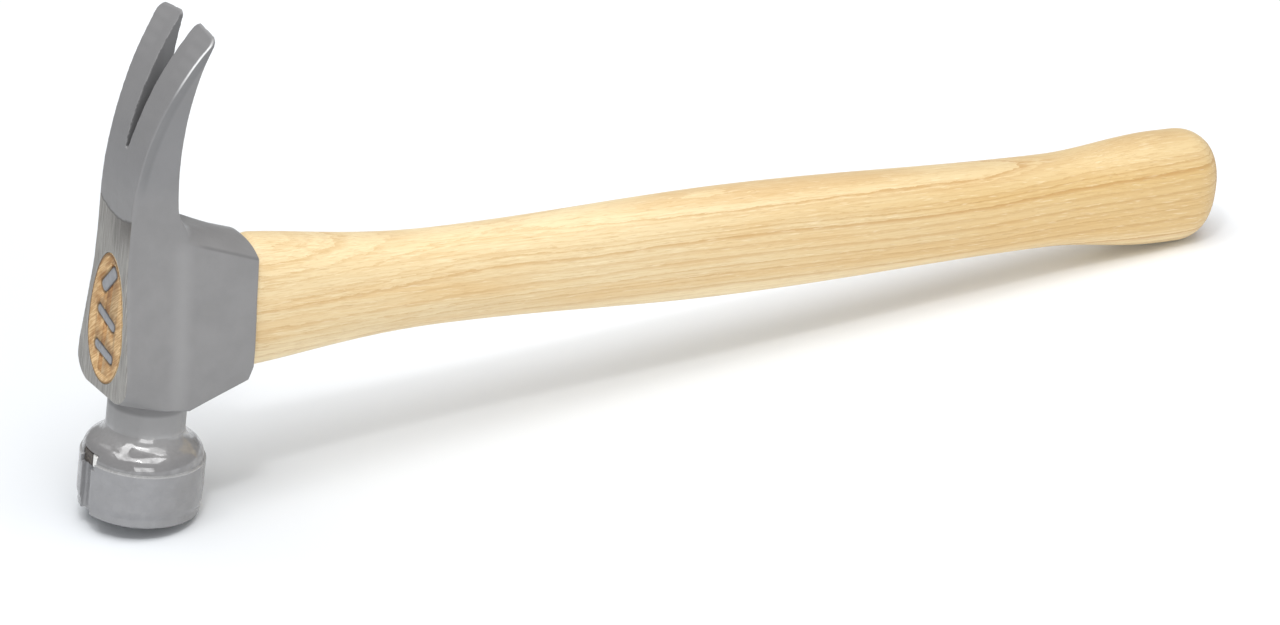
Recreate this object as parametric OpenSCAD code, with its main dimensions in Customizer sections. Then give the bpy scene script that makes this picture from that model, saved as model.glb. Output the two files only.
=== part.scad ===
// Framing hammer with straight claws, a hickory handle wedged into the eye and a magnetic nail starter.
// It is drawn in the head's own axes: X runs from the poll axis towards the butt, Y across the cheeks
// and Z up from the striking face to the claws. The whole hammer is then tipped to its rest: it stands
// on the handle-side edge of its striking face and on the underside of its butt.

/* [Poll] */
// Diameter of the bell
bell_d = 37.2; // [35:0.1:40]
// Height of the bell's side, from the striking face to its shoulder
bell_h = 18.6; // [16:0.1:20]
// Bevel round the striking face
face_bevel = 4.5; // [2:0.1:6]
// Step in from the bell's side to its rounded shoulder
shoulder_step = 0.4; // [0.2:0.1:1]
// Radius of the bell's shoulder
shoulder_r = 7; // [5:0.1:8]
// Length of the neck, from the bell's side to the lowest edge of the body
neck_l = 18.5; // [16:0.1:22]
// Width of the eight-sided neck across its flats
neck_d = 23.2; // [21:0.1:26]
// Radius where the neck runs out into the body
neck_fillet = 3.2; // [2:0.1:5]

/* [Nail starter] */
// Width of the nail groove down the front of the bell
groove_w = 5.4; // [4:0.1:7]
// Depth of the nail groove
groove_depth = 2.2; // [1:0.1:3]
// Width of the magnet
magnet_w = 8; // [6:0.1:12]
// Height of the magnet
magnet_h = 4.2; // [3:0.1:5]
// Thickness of the magnet
magnet_t = 3; // [2:0.1:4]
// How far the magnet lies below the skin of the bell
magnet_set = 1.4; // [0.5:0.1:2]
// Drop from the upper edge of the bell's side to the magnet's lower edge
magnet_drop = 1.8; // [0:0.1:4]
// Gap round the magnet
magnet_gap = 0.1; // [0.05:0.01:0.3]

/* [Body] */
// Distance from the poll axis to the ground front face
body_front = 16.1; // [15:0.1:18]
// Distance from the poll axis to the rear face
body_rear = 26; // [24:0.1:30]
// Rise from the keel, the body's lowest edge under its ridge, to the lower front edge
front_lift = 3.9; // [2:0.1:6]
// Rise from the keel to the lower rear corner
rear_lift = 7.9; // [5:0.1:10]
// Height of the chamfer on the lower rear corner
rear_chamfer = 4.2; // [2:0.1:6]
// Rise from the keel to the body's widest place
cheek_lift = 12.9; // [10:0.1:16]
// Slope of the shoulder from the claws down to the rear face, in degrees
shoulder_slope = 17; // [12:0.5:20]
// Drop from the rear face's upper edge to the start of the bevels on the shoulder
crown_drop = 3.5; // [2:0.1:5]
// Rise of those bevels
crown_rise = 6.5; // [5:0.1:8]
// Width of the front and rear faces level with the keel
foot_w = 16; // [12:0.1:24]
// Width of the body at its ridge, level with the keel
keel_w = 31; // [30:0.1:32]
// Greatest width of the ground front face
front_low_w = 29.6; // [28:0.1:31]
// Width of the ground front face where the bevels start
front_mid_w = 20.6; // [19:0.1:22]
// Greatest width of the body, at its ridge
ridge_low_w = 32.6; // [31.5:0.1:36]
// Width of the body at its ridge where the bevels start
ridge_mid_w = 25.4; // [24:0.1:27]
// Greatest width of the rear face
rear_low_w = 30.4; // [29:0.1:31]
// Width of the rear face where the bevels start
rear_mid_w = 24; // [22:0.1:25]
// Width of the front face at the top of the bevels
front_crown_w = 20.4; // [18:0.1:21]
// Width of the body at its ridge at the top of the bevels
ridge_crown_w = 22.6; // [21:0.1:24]
// Width that the rear face would have at the top of the bevels
rear_crown_w = 11; // [8:0.1:14]

/* [Claws] */
// Rise from the top of the bevels to the place where the claws start to curve
claw_lift = 8.5; // [6:0.1:11]
// Width of the claws' front where they start to curve
claw_root_w = 20.6; // [18:0.1:22]
// Width of the claws at the ridge line of the cheeks, at the same height
claw_ridge_w = 21.2; // [18:0.1:23]
// Width of the claws' front at the start of their back curve
claw_mid_w = 24; // [21:0.1:26]
// Width of the claws at the ridge line, at the same height
claw_mid_ridge_w = 23.4; // [21:0.1:26]
// Width that the claws' sides would have at the tips, out where the front face is
claw_spread_w = 40; // [34:0.1:44]
// Width across both claw tips
claw_tip_w = 36; // [30:0.1:37]
// Radius of the claws' front curve
claw_front_r = 97; // [90:1:110]
// Rise from there to the start of the claws' back curve
claw_back_lift = 20; // [17:0.1:23]
// Thickness from the front face to the most forward place of the claws' back
claw_root_t = 14.2; // [13:0.1:16]
// Radius of the inside corner between the claws and the shoulder
crotch_r = 9; // [6:0.1:11]
// Rise of the claws, from the place where they start to curve to their tips
claw_rise = 58.2; // [52:0.1:64]
// Thickness of the claws at their tips
tip_t = 1.5; // [1.2:0.1:4]
// Height of the bevel that sharpens the claw tips
tip_bevel = 2.1; // [1:0.1:3]
// Height of the rounded back of the claw tips
tip_back = 1.5; // [1:0.1:4]
// Length of the nail slot
slot_l = 39.7; // [34:0.1:44]
// Length over which the nail slot opens to the size of a nail
slot_throat_l = 8.7; // [5:0.1:12]
// Width of the nail slot there
slot_mid_w = 3.2; // [2.5:0.1:4]
// Width of the nail slot between the claw tips
slot_tip_w = 8.2; // [7:0.1:10]

/* [Eye] */
// Steel left under the eye, at the lower front edge
eye_floor = 2; // [1.5:0.1:4]
// Steel left over the eye, at the rear face
eye_roof = 2.3; // [1.5:0.1:4]
// Reach of the eye above its widest place
eye_up = 25.7; // [22:0.1:28]
// Reach of the eye below its widest place
eye_down = 15; // [12:0.1:18]
// Greatest width of the eye
eye_w = 21.4; // [18:0.1:22]
// Gap between the eye and the handle's tenon
eye_gap = 0.08; // [0.02:0.01:0.2]

/* [Wedges] */
// Thickness of the wooden wedge at its outer end
wood_wedge_t = 2.6; // [2:0.1:3.5]
// Thickness of the wooden wedge at its inner end
wood_wedge_tip = 1; // [0.5:0.1:1.5]
// Length of the wooden wedge into the eye
wood_wedge_depth = 30; // [24:0.5:34]
// Distance from the wooden wedge to the top and the bottom of the eye
wood_wedge_end = 3; // [2:0.1:5]
// Turn of the wooden wedge in the eye, in degrees
wood_wedge_turn = 6; // [0:0.5:8]
// Length of the steel wedges into the wood
steel_depth = 16; // [12:0.5:20]
// Thickness of the steel wedges at their inner end
steel_tip = 0.8; // [0.5:0.1:1.2]
// Width of the upper steel wedge
top_steel_w = 11; // [9:0.1:12]
// Thickness of the upper steel wedge
top_steel_t = 4; // [3:0.1:4.5]
// Distance from the top of the eye down to the upper steel wedge
top_steel_down = 8.2; // [7:0.1:9]
// Turn of the upper steel wedge, in degrees
top_steel_turn = -48; // [-60:1:-30]
// Width of the middle and lower steel wedges
low_steel_w = 11.6; // [10:0.1:12]
// Thickness of the middle and lower steel wedges
low_steel_t = 3.2; // [2.5:0.1:4]
// Distance from the upper steel wedge down to the middle one
mid_steel_down = 12.1; // [11:0.1:13]
// Turn of the middle steel wedge, in degrees
mid_steel_turn = 17; // [5:1:25]
// Distance from the middle steel wedge down to the lower one
low_steel_down = 10.6; // [10:0.1:11]
// Turn of the lower steel wedge, in degrees
low_steel_turn = 10; // [0:1:20]
// Gap round each wedge
wedge_gap = 0.05; // [0.02:0.01:0.1]

/* [Handle] */
// Length of the whole hammer, from the front of the bell to the butt
hammer_l = 401.6; // [380:0.1:460]
// Rise from the eye's widest place to the handle's centre line
axis_lift = 6.1; // [5:0.1:7]
// Height of the handle where it leaves the head
collar_h = 41.4; // [38:0.1:42]
// Width of the handle where it leaves the head
collar_w = 24.4; // [23:0.1:26]
// Length over which the handle steps out from the eye to its full size
collar_edge = 1.2; // [0.5:0.1:3]
// Distance from the head's rear face to the waist
waist_at = 69; // [60:0.5:80]
// Height of the handle at the waist
waist_h = 29.4; // [26:0.1:32]
// Width of the handle at the waist
waist_w = 23.2; // [20:0.1:25]
// Distance from the head's rear face to the belly
belly_at = 174; // [150:0.5:190]
// Height of the handle at the belly
belly_h = 35.2; // [31:0.1:38]
// Width of the handle at the belly
belly_w = 23.8; // [21:0.1:26]
// Distance from the belly to the grip's narrowest place
grip_at = 118; // [100:0.5:125]
// Height of the handle at the grip's narrowest place
grip_h = 30; // [26:0.1:33]
// Width of the handle at the grip's narrowest place
grip_w = 24; // [21:0.1:26]
// Distance from the butt's widest place to its end
butt_at = 19; // [16:0.5:24]
// Height of the butt
butt_h = 37.2; // [33:0.1:40]
// Width of the butt
butt_w = 27; // [24:0.1:29]
// Radius of the butt's end
butt_round = 13; // [10:0.1:15]

/* [Hidden] */

// Overrun of every cut past the face that it opens
overrun = 1;

// How far the neck runs into the body
bite = 0.6;

bell_r = bell_d / 2;
face_r = bell_r - face_bevel;
// Radius of the turned neck inside the eight flats
neck_r = neck_d / 2 - shoulder_step;
// Turn that puts two flats of the neck level with the cheeks, and sweep of the bell's shoulder
flat_turn = 22.5;
shoulder_sweep = 80;

// Heights over the striking face, stacked from the bell up round the eye to the claw tips
magnet_low_h = bell_h - magnet_drop;
keel_h = bell_h + neck_l;
front_low_h = keel_h + front_lift;
rear_low_h = keel_h + rear_lift;
cheek_low_h = keel_h + cheek_lift;
eye_mid_h = front_low_h + eye_floor + eye_down;
eye_top_h = eye_mid_h + eye_up;
rear_top_h = eye_top_h + eye_roof;
cheek_top_h = rear_top_h - crown_drop;
crown_h = cheek_top_h + crown_rise;
claw_h = crown_h + claw_lift;
claw_back_h = claw_h + claw_back_lift;
tip_h = claw_h + claw_rise;
slot_low_h = tip_h - slot_l;
axis_h = eye_mid_h + axis_lift;

// Length of the handle behind the head
handle_l = hammer_l - bell_r - body_rear;
// Distance from the head's rear face to the grip's narrowest place, and to the butt's widest
grip_x = belly_at + grip_at;
butt_x = handle_l - butt_at;

// Powers that make the handle's section and its end fuller than an oval, whose power is 2
section_power = 2.3;
end_power = 2.5;
// Share of the handle's rounded end at which its underside touches the ground
rest_share = 0.25;
rest_x = handle_l - butt_round * (1 - rest_share);
// Tilt at which the striking face's edge and that place are level
rest_tilt = atan((axis_h - butt_h / 2 * end_size(rest_share)) / (body_rear + rest_x - face_r));
// Share of the way to the waist at which the handle has lost half of its flare
flare_share = 0.4;
// Shares of the handle's rounded end at which its rings lie
end_shares = [0.2, 0.4, 0.58, 0.72, 0.83, 0.91, 0.965, 1];
// Rings along the handle, corners in each ring, and steps in each arc
rings = 32;
corners = 36;
arc_steps = 12;

// Points on an arc about a centre, from one angle to another
function arc(centre, r, from, to) =
    [for (i = [0:arc_steps]) let (a = from + (to - from) * i / arc_steps)
     centre + r * [cos(a), sin(a)]];

// A smooth step from nought to one
function ease(t) = (1 - cos(180 * t)) / 2;

// A signed power, which squares off an oval
function fuller(v, n) = sign(v) * pow(abs(v), 2 / n);

// A solid through a row of rings, each with the same number of corners
module loft(all_rings) {
    n = len(all_rings[0]);
    last = (len(all_rings) - 1) * n;
    sides = [for (a = [0:n:last - n]) for (j = [0:n - 1]) let (k = (j + 1) % n)
             each [[a + j, a + n + k, a + k], [a + j, a + n + j, a + n + k]]];
    caps = [for (j = [1:n - 2]) each [[0, j, j + 1], [last, last + j + 1, last + j]]];
    polyhedron([for (r = all_rings) each r], concat(sides, caps));
}

// Poll: bell and neck

module bell_outline() {
    shoulder = [bell_r - shoulder_step - shoulder_r, bell_h];
    throat = [neck_r + neck_fillet, keel_h - neck_fillet + bite];
    polygon(concat(
        [[0, 0], [face_r, 0], [bell_r, face_bevel], [bell_r, bell_h]],
        arc(shoulder, shoulder_r, 0, shoulder_sweep),
        arc(throat, neck_fillet, 180, 90),
        [[neck_r + neck_fillet, cheek_low_h], [0, cheek_low_h]]));
}

module poll() {
    rotate_extrude($fn = 96) bell_outline();
    translate([0, 0, bell_h])
        rotate(flat_turn)
            cylinder(h = cheek_low_h - bell_h, d = neck_d / cos(flat_turn), $fn = 8);
}

// Body and claws: a tapering block cut to the hammer's side view

// A level slice through the block, whose cheeks run on past the front and rear faces that cut it
function slice(h, front_w, ridge_w, rear_w) =
    let (front_y = (front_w - (ridge_w - front_w) * overrun / body_front) / 2,
         rear_y = (rear_w - (ridge_w - rear_w) * overrun / body_rear) / 2,
         front_x = -body_front - overrun, rear_x = body_rear + overrun)
    [[front_x, -front_y, h], [0, -ridge_w / 2, h], [rear_x, -rear_y, h],
     [rear_x, rear_y, h], [0, ridge_w / 2, h], [front_x, front_y, h]];

module block() {
    loft([slice(keel_h - overrun, foot_w, keel_w, foot_w),
          slice(cheek_low_h, front_low_w, ridge_low_w, rear_low_w),
          slice(cheek_top_h, front_mid_w, ridge_mid_w, rear_mid_w),
          slice(crown_h, front_crown_w, ridge_crown_w, rear_crown_w),
          slice(claw_h, claw_root_w, claw_ridge_w, rear_crown_w),
          slice(claw_back_h, claw_mid_w, claw_mid_ridge_w, rear_crown_w),
          slice(tip_h + overrun, claw_spread_w, claw_tip_w, rear_crown_w)]);
}

module side_view() {
    front_sweep = asin((tip_h - tip_bevel - claw_h) / claw_front_r);
    tip_x = claw_front_r * (1 - cos(front_sweep)) - body_front;
    // The claws' back is upright at its most forward place and ends a tip's thickness behind their front
    back_x = claw_root_t - body_front;
    back_run = tip_x + tip_t - back_x;
    back_rise = tip_h - tip_back - claw_back_h;
    back_r = (back_run * back_run + back_rise * back_rise) / (2 * back_run);
    back_sweep = asin(back_rise / back_r);
    back_mid = [back_r + back_x, claw_back_h];
    // The inside corner touches the claws' back and the sloping shoulder
    crotch_reach = (claw_back_h - rear_top_h) * cos(shoulder_slope)
                   + (back_mid.x - body_rear) * sin(shoulder_slope) - crotch_r;
    crotch_turn = asin(crotch_reach / (back_r - crotch_r)) - shoulder_slope;
    crotch = back_mid - (back_r - crotch_r) * [cos(crotch_turn), sin(crotch_turn)];
    polygon(concat(
        [[-body_front, front_low_h]],
        arc([claw_front_r - body_front, claw_h], claw_front_r, 180, 180 - front_sweep),
        [[tip_x + tip_t / 2, tip_h]],
        arc(back_mid, back_r, 180 - back_sweep, 180 + crotch_turn),
        arc(crotch, crotch_r, 180 + crotch_turn, 270 - shoulder_slope),
        [[body_rear, rear_top_h], [body_rear, rear_low_h + rear_chamfer],
         [body_rear - rear_chamfer / 3, rear_low_h], [neck_r / 2, keel_h], [-neck_r / 4, keel_h]]));
}

module nail_slot() {
    throat_h = slot_low_h + slot_throat_l;
    top = tip_h + overrun;
    rotate([90, 0, 90])
        linear_extrude(height = claw_front_r, center = true)
            polygon([[0, slot_low_h], [slot_mid_w / 2, throat_h], [slot_tip_w / 2, top],
                     [-slot_tip_w / 2, top], [-slot_mid_w / 2, throat_h]]);
}

module forging() {
    intersection() {
        block();
        rotate([90, 0, 0])
            linear_extrude(height = bell_d, center = true) side_view();
    }
}

// The egg shape of the eye, seen from the front; a gap makes it the section of the tenon
function egg(gap = 0) =
    [for (i = [0:corners - 1]) let (a = 360 * i / corners)
     [(eye_w / 2 - gap) * cos(a), eye_mid_h + ((i < corners / 2 ? eye_up : eye_down) - gap) * sin(a)]];

// Runs a shape drawn as seen from the front through the head, between two distances from the poll axis
module through(from, to) {
    translate([from, 0, 0])
        rotate([90, 0, 90])
            linear_extrude(height = to - from) children();
}

// The nail starter's groove and the pocket of its magnet
module starter_cut() {
    translate([-bell_r - overrun, -groove_w / 2, -overrun])
        cube([groove_depth + overrun, groove_w, bell_h + overrun]);
    pocket_w = magnet_w + 2 * magnet_gap;
    pocket_h = magnet_h + 2 * magnet_gap;
    pocket_depth = magnet_set + magnet_t + magnet_gap;
    translate([-bell_r - overrun, -pocket_w / 2, magnet_low_h - magnet_gap])
        cube([pocket_depth + overrun, pocket_w, pocket_h]);
}

// Wedges, each a tapering prism that points into the eye; a gap makes it the cut that holds the wedge

module taper(w, outer_t, inner_t, depth, gap) {
    proud = gap > 0 ? overrun : 0;
    outer = outer_t / 2 + gap;
    inner = inner_t / 2 + gap;
    translate([-body_front, 0, 0])
        linear_extrude(height = w + 2 * gap, center = true)
            polygon([[-proud, -outer], [0, -outer], [depth + gap, -inner],
                     [depth + gap, inner], [0, outer], [-proud, outer]]);
}

// The wooden wedge stands upright in the eye
module wood_taper(gap = 0) {
    low = eye_mid_h - eye_down + wood_wedge_end;
    high = eye_top_h - wood_wedge_end;
    translate([0, 0, (low + high) / 2])
        rotate([wood_wedge_turn, 0, 0])
            taper(high - low, wood_wedge_t, wood_wedge_tip, wood_wedge_depth, gap);
}

// A steel wedge lies across the wooden one, at a distance below the top of the eye
module steel_taper(down, w, t, turn, gap) {
    translate([0, 0, eye_top_h - down])
        rotate([90 + turn, 0, 0])
            taper(w, t, steel_tip, steel_depth, gap);
}

module top_steel(gap = 0) {
    steel_taper(top_steel_down, top_steel_w, top_steel_t, top_steel_turn, gap);
}

module middle_steel(gap = 0) {
    down = top_steel_down + mid_steel_down;
    steel_taper(down, low_steel_w, low_steel_t, mid_steel_turn, gap);
}

module bottom_steel(gap = 0) {
    down = top_steel_down + mid_steel_down + low_steel_down;
    steel_taper(down, low_steel_w, low_steel_t, low_steel_turn, gap);
}

module steel_pockets() {
    top_steel(wedge_gap);
    middle_steel(wedge_gap);
    bottom_steel(wedge_gap);
}

// Handle: one loft from the tenon's egg shape in the eye through full oval rings to the butt

// A smooth run from size a to size b, half done at a share of the way
function between(x, from, to, a, b, half_share = 0.5) =
    a + (b - a) * ease(pow((x - from) / (to - from), ln(0.5) / ln(half_share)));

// Height and width of the handle at a distance from the head's rear face
function girth(x) =
    x < waist_at ? between(x, 0, waist_at, [collar_h, collar_w], [waist_h, waist_w], flare_share)
    : x < belly_at ? between(x, waist_at, belly_at, [waist_h, waist_w], [belly_h, belly_w])
    : x < grip_x ? between(x, belly_at, grip_x, [belly_h, belly_w], [grip_h, grip_w])
    : x < butt_x ? between(x, grip_x, butt_x, [grip_h, grip_w], [butt_h, butt_w])
    : [butt_h, butt_w];

// Size of a ring in the rounded end, as a share of the butt's
function end_size(share) =
    1 - (1 - pow(1 - pow(share, end_power), 1 / end_power)) * 2 * butt_round / butt_h;

// One ring of the handle, at a distance from the head's rear face
function ring(x, size) =
    [for (i = [0:corners - 1]) let (a = 360 * i / corners)
     [body_rear + x, size[1] / 2 * fuller(cos(a), section_power),
      axis_h + size[0] / 2 * fuller(sin(a), section_power)]];

module shaft() {
    straight = handle_l - butt_round;
    tenon = [for (x = [-body_front, body_rear]) [for (p = egg(eye_gap)) [x, p[0], p[1]]]];
    main = [for (i = [0:rings]) let (x = collar_edge + (straight - collar_edge) * i / rings)
            ring(x, girth(x))];
    end = [for (s = end_shares) ring(straight + butt_round * s, [butt_h, butt_w] * end_size(s))];
    loft(concat(tenon, main, end));
}

// Nodes

module resting() {
    rotate([0, rest_tilt, 0]) children();
}

module head() {
    color([0.56, 0.56, 0.57]) resting() difference() {
        union() {
            forging();
            poll();
        }
        through(-body_front - overrun, body_rear + overrun) polygon(egg());
        nail_slot();
        starter_cut();
    }
}

module handle() {
    color([0.93, 0.82, 0.6]) resting() difference() {
        shaft();
        wood_taper(wedge_gap);
        steel_pockets();
    }
}

module wooden_wedge() {
    color([0.78, 0.6, 0.38]) resting() difference() {
        wood_taper();
        steel_pockets();
    }
}

module steel_wedge_top() { color([0.6, 0.6, 0.61]) resting() top_steel(); }
module steel_wedge_middle() { color([0.6, 0.6, 0.61]) resting() middle_steel(); }
module steel_wedge_bottom() { color([0.6, 0.6, 0.61]) resting() bottom_steel(); }

module nail_magnet() {
    color([0.3, 0.28, 0.26]) resting()
        translate([magnet_set - bell_r, -magnet_w / 2, magnet_low_h])
            cube([magnet_t, magnet_w, magnet_h]);
}

head();
handle();
wooden_wedge();
steel_wedge_top();
steel_wedge_middle();
steel_wedge_bottom();
nail_magnet();
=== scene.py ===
"""Looks of a framing hammer: a forged head, a hickory handle, its wedges and the nail starter's magnet.

Sizes are in millimetres in the head's own axes, as in the part's source: X from the poll axis towards
the butt, Y across the cheeks, Z up from the striking face. to_frame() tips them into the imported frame.
"""
import math

import bpy
import numpy as np
from mathutils import Matrix, Vector


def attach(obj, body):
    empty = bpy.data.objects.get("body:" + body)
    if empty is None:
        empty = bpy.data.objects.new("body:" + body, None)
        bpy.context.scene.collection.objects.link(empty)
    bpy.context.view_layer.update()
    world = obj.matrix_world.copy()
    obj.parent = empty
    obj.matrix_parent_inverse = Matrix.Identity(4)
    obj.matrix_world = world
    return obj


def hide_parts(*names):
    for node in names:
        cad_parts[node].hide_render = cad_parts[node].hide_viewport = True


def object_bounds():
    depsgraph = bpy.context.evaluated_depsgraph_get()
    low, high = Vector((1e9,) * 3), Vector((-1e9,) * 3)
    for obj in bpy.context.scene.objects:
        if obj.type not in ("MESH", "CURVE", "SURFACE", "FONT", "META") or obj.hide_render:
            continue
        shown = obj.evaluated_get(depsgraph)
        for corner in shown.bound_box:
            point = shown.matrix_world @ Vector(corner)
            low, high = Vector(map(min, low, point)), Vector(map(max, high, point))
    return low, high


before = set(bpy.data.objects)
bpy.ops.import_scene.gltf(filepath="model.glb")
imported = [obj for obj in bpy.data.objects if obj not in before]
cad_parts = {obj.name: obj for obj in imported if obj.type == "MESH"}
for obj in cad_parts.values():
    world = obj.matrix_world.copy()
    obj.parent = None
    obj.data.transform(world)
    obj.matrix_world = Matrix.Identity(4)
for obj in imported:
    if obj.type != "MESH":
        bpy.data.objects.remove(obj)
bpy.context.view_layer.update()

MM = 0.001
REST_TILT = math.radians(7.24596)
TURN = np.array([[math.cos(REST_TILT), 0, math.sin(REST_TILT)],
                 [0, 1, 0],
                 [-math.sin(REST_TILT), 0, math.cos(REST_TILT)]])


def to_frame(points):
    """Places of the head's own axes, in millimetres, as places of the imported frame, in metres."""
    return np.asarray(points, float) @ TURN.T * MM


# Sizes of the poll: bell, shoulder and neck

BELL_R = 18.6
BELL_H = 18.6
FACE_BEVEL = 4.5
SHOULDER_STEP = 0.6
SHOULDER_R = 5.6
SHOULDER_TOP = 24.6
# Height at which the shoulder's shape starts, inside the bell
SHOULDER_FOOT = 2
# Half of the neck's width across its eight flats
NECK_R = 11.6
# The neck's middle and half length, with its ends inside the shoulder and the body
NECK_MID_H = 35
NECK_HALF_L = 13

# Sizes of the body and the claws

BODY_FRONT = 16.1
BODY_REAR = 26
# Lower edge of the front face, the radius of its lower corners and how fast that runs out behind it
LOW_FRONT_H = 40
CORNER_R = 8
CORNER_RUN_OUT = 0.35
# The body's lower edge in its side view, from the rear face to just in front of the poll axis
KEEL = [(BODY_REAR, 49.2), (24.6, 45), (5.6, 37.6), (-2.8, 38.7)]
SHOULDER_SLOPE = math.radians(17)
REAR_TOP_H = 86
REAR_ROUND = 3
CLAW_H = 97.5
CLAW_FRONT_R = 97
CLAW_BACK_H = 117.5
CLAW_BACK_X = -1.9
CLAW_BACK_R = 134
CROTCH_R = 9
TIP_H = 155.7
TIP_X = 3.1
TIP_RISE = 0.2
# Drops from the tips' height to the ends of the claws' front and back curves
TIP_FRONT_DROP = 1.7
TIP_BACK_DROP = 0.9
# The tips' ends in the front view: their rise at the middle plane and their fall towards the cheeks
TIP_CROWN = 0.15
TIP_FALL = 0.1
# Softness of the ridge along each cheek
RIDGE_SOFT = 0.55

# The facets between the shoulder and the cheeks: their depth on each, their rounding, the share of them
# that is left along the claws' back, and where and over what length they shrink to it
FACET_DOWN = 3.9
FACET_ACROSS = 5.6
FACET_R = 4
FACET_LEFT = 0.14
FACET_END_H = 87.5
FACET_END_L = 8

# The bevels along the claws' front: where and over what length they widen, and close at the tips, and
# their least depth, growth and loss, measured back from the front and across the cheeks
BEVEL_GROWS = (99, 22)
BEVEL_CLOSES = (148, 8)
BEVEL_BACK = (0.8, 1.4, 1.3)
BEVEL_ACROSS = (0.4, 0.6, 0.5)

# Sizes of the openings in the head

EYE_MID_H = 58
EYE_UP = 25.7
EYE_DOWN = 15
EYE_W = 21.4
GROOVE_W = 5.4
GROOVE_DEPTH = 2.2
GROOVE_R = 0.8
# How far the nail groove runs into the magnet's pocket
GROOVE_PAST = 1
MAGNET_W = 8
MAGNET_H = 4.2
MAGNET_T = 3
MAGNET_SET = 1.4
MAGNET_LOW = 16.8
MAGNET_GAP = 0.2
MAGNET_SIDE_R = 0.5
MAGNET_END_R = 0.4
# Heights and half-widths of the nail slot
SLOT = [(116.9, 0.8), (125, 1.65), (131, 2.1), (138.5, 2.65), (146, 3.5), (157, 4.7)]

# Half-widths of the head at its front face, its ridge and its rear face, at rising heights
WIDTH_HEIGHTS = [30, 44, 48, 51, 57, 62, 70, 76, 86, 97.5, 104, 111, 117, 123, 130, 137, 144, 152, 158]
FRONT_HALF = [15.5, 15.9, 15.9, 15.6, 14.5, 13.6, 12.2, 11.1, 10.4, 10.4, 10.7, 11.5, 12.1, 12.8, 13.9, 15.7,
              18.2, 20.7, 22.3]
RIDGE_HALF = [16.2, 16.3, 16.3, 16.3, 15.8, 15.1, 14, 13.3, 11.9, 10.8, 11, 11.3, 11.7, 12.2, 12.9, 13.9,
              15.2, 17.5, 19]
REAR_HALF = [14, 15.2, 15.4, 15.3, 15, 14.5, 13.6, 13.1, 12.1, 10.9, 10.9, 10.8, 10.8, 10.7, 10.6, 10.5,
             10.7, 12.4, 13.5]
# Half-width of the front face at its lower corners
LOW_FRONT_HALF = 15.9

# Radii of the head's rounded edges and of its fillets
FACE_EDGE_R = 0.4
FACE_BEVEL_R = 1.8
BELL_EDGE_R = 0.15
NECK_EDGE_R = 2.5
NECK_FILLET_R = 4.4
BODY_FILLET_R = 3.4
CHEEK_EDGE_R = 0.7
CROWN_EDGE_R = 0.5
CLAW_BEVEL_R = 0.35
LOW_CORNER_R = 0.6
TIP_CORNER_R = 3.0
SLOT_EDGE_R = 0.35
EYE_EDGE_R = 0.25
GROOVE_EDGE_R = 0.35
POCKET_EDGE_R = 0.3
# Radius of edges that lie inside another shape
HIDDEN_EDGE_R = 0.5

# Corners of the eye's outline and of the handle's rings
RING_CORNERS = 96


def arc(centre, radius, start, end, steps=14):
    """Points on an arc, from one angle to another, in degrees."""
    angles = np.radians(np.linspace(start, end, steps + 1))
    return [(centre[0] + radius * math.cos(a), centre[1] + radius * math.sin(a)) for a in angles]


# Signed distances, negative inside

def soft_step(t):
    t = np.clip(t, 0, 1)
    return t * t * (3 - 2 * t)


def rounded(a, b, radius):
    """What lies in both, with the edge between them rounded."""
    return np.minimum(-radius, np.maximum(a, b)) + np.hypot(np.maximum(radius + a, 0),
                                                            np.maximum(radius + b, 0))


def filleted(a, b, radius):
    """What lies in either, with a fillet in the corner between them."""
    return -rounded(-a, -b, radius)


def bevelled(a, b, depth_a, depth_b):
    """The flat that bevels the edge where a and b meet, by a depth measured on each of them."""
    return (a / depth_a + b / depth_b + 1) / np.hypot(1 / depth_a, 1 / depth_b)


def outline_distance(u, v, outline):
    """Distance to a closed outline of straight stretches."""
    nearest = np.full(np.broadcast(u, v).shape, np.inf)
    inside = np.zeros(nearest.shape, bool)
    for (au, av), (bu, bv) in zip(outline, outline[1:] + outline[:1]):
        run, rise = bu - au, bv - av
        share = np.clip(((u - au) * run + (v - av) * rise) / (run * run + rise * rise), 0, 1)
        nearest = np.minimum(nearest, (u - au - share * run) ** 2 + (v - av - share * rise) ** 2)
        if rise:
            inside ^= ((av > v) != (bv > v)) & (u < au + run * (v - av) / rise)
    return np.where(inside, -1, 1) * np.sqrt(nearest)


def through(points, at):
    """A smooth curve through points whose first coordinates rise."""
    xs, ys = np.array(points, float).T
    slopes = np.gradient(ys, xs)
    i = np.clip(np.searchsorted(xs, at) - 1, 0, len(xs) - 2)
    span = xs[i + 1] - xs[i]
    t = np.clip((at - xs[i]) / span, 0, 1)
    return (ys[i] * (1 + 2 * t) * (1 - t) ** 2 + ys[i + 1] * t * t * (3 - 2 * t)
            + span * (slopes[i] * t * (1 - t) ** 2 - slopes[i + 1] * t * t * (1 - t)))


# Outlines of the head in its side view

def claw_fronts():
    sweep = math.degrees(math.asin((TIP_H - TIP_FRONT_DROP - CLAW_H) / CLAW_FRONT_R))
    return arc((CLAW_FRONT_R - BODY_FRONT, CLAW_H), CLAW_FRONT_R, 180, 180 - sweep)


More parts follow.
